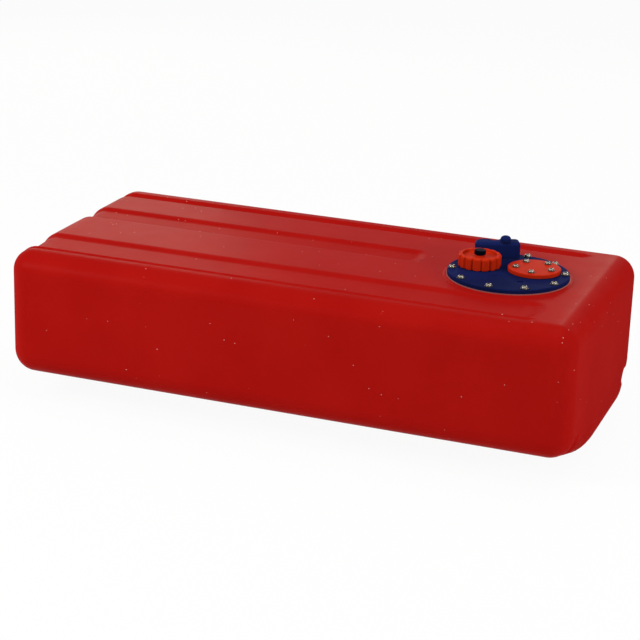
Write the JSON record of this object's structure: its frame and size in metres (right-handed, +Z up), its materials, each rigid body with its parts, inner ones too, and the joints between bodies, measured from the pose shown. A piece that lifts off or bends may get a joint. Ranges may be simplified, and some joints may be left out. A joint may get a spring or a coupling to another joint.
{
  "type": "outboard fuel tank",
  "caption": "Long low moulded fuel tank with a hull-shaped bottom, a round service flange, a vented screw cap and a hose outlet.",
  "frame": {"origin": "on the floor under the middle of the tank's length and width", "axes": "+X along the tank towards the flange, +Y to the back, +Z up"},
  "size_m": [0.87, 0.42, 0.2771],
  "materials": {
    "tank_red": "smooth moulded, satin gloss",
    "flange_blue": "fine moulded satin",
    "cap_red": "moulded satin",
    "knob_navy": "moulded satin",
    "seal_rubber": "plain",
    "seal_pale": "plain",
    "stainless": "bright",
    "brass": "turned",
    "tube_aluminium": "drawn",
    "strainer_black": "moulded"
  },
  "bodies": {
    "tank": {"tank_shell": "tank_red", "flange_inserts": "brass", "flange_gasket": "seal_pale", "flange_plate": "flange_blue", "flange_screws": "stainless", "flange_washers": "stainless", "sender_inserts": "brass", "sender_cover_gasket": "seal_rubber", "sender_cover": "cap_red", "sender_cover_screws": "stainless", "sender_cover_washers": "stainless", "housing_gasket": "seal_rubber", "outlet_housing": "flange_blue", "housing_screws": "stainless", "plug_seal": "seal_rubber", "housing_plug": "flange_blue", "hose_spigot": "brass", "pickup_tube": "tube_aluminium", "pickup_strainer": "strainer_black"},
    "cap_seal": {"filler_cap_gasket": "seal_rubber"},
    "filler_cap": {"filler_cap": "cap_red"},
    "vent_seal": {"vent_seal": "seal_rubber"},
    "vent_screw": {"vent_screw": "knob_navy", "vent_clip": "stainless"}
  },
  "joints": [
    {"name": "cap_lift", "type": "slide", "parent": "tank", "child": "cap_seal", "axis": [0, 0, 1], "range_m": [0, 0.0101]},
    {"name": "cap_turn", "type": "hinge", "parent": "cap_seal", "child": "filler_cap", "pos_m": [0.2364, 0.0074, 0.25], "axis": [0, 0, 1], "range_deg": [0, 720]},
    {"name": "vent_lift", "type": "slide", "parent": "filler_cap", "child": "vent_seal", "axis": [0, 0, 1], "range_m": [0, 0.00225]},
    {"name": "vent_turn", "type": "hinge", "parent": "vent_seal", "child": "vent_screw", "pos_m": [0.2364, 0.0074, 0.25], "axis": [0, 0, 1], "range_deg": [0, 720]}
  ],
  "couplings": [
    {"joint": "cap_lift", "follows": "cap_turn", "m_per_rad": 0.00079577},
    {"joint": "vent_lift", "follows": "vent_turn", "m_per_rad": 0.00017507}
  ]
}
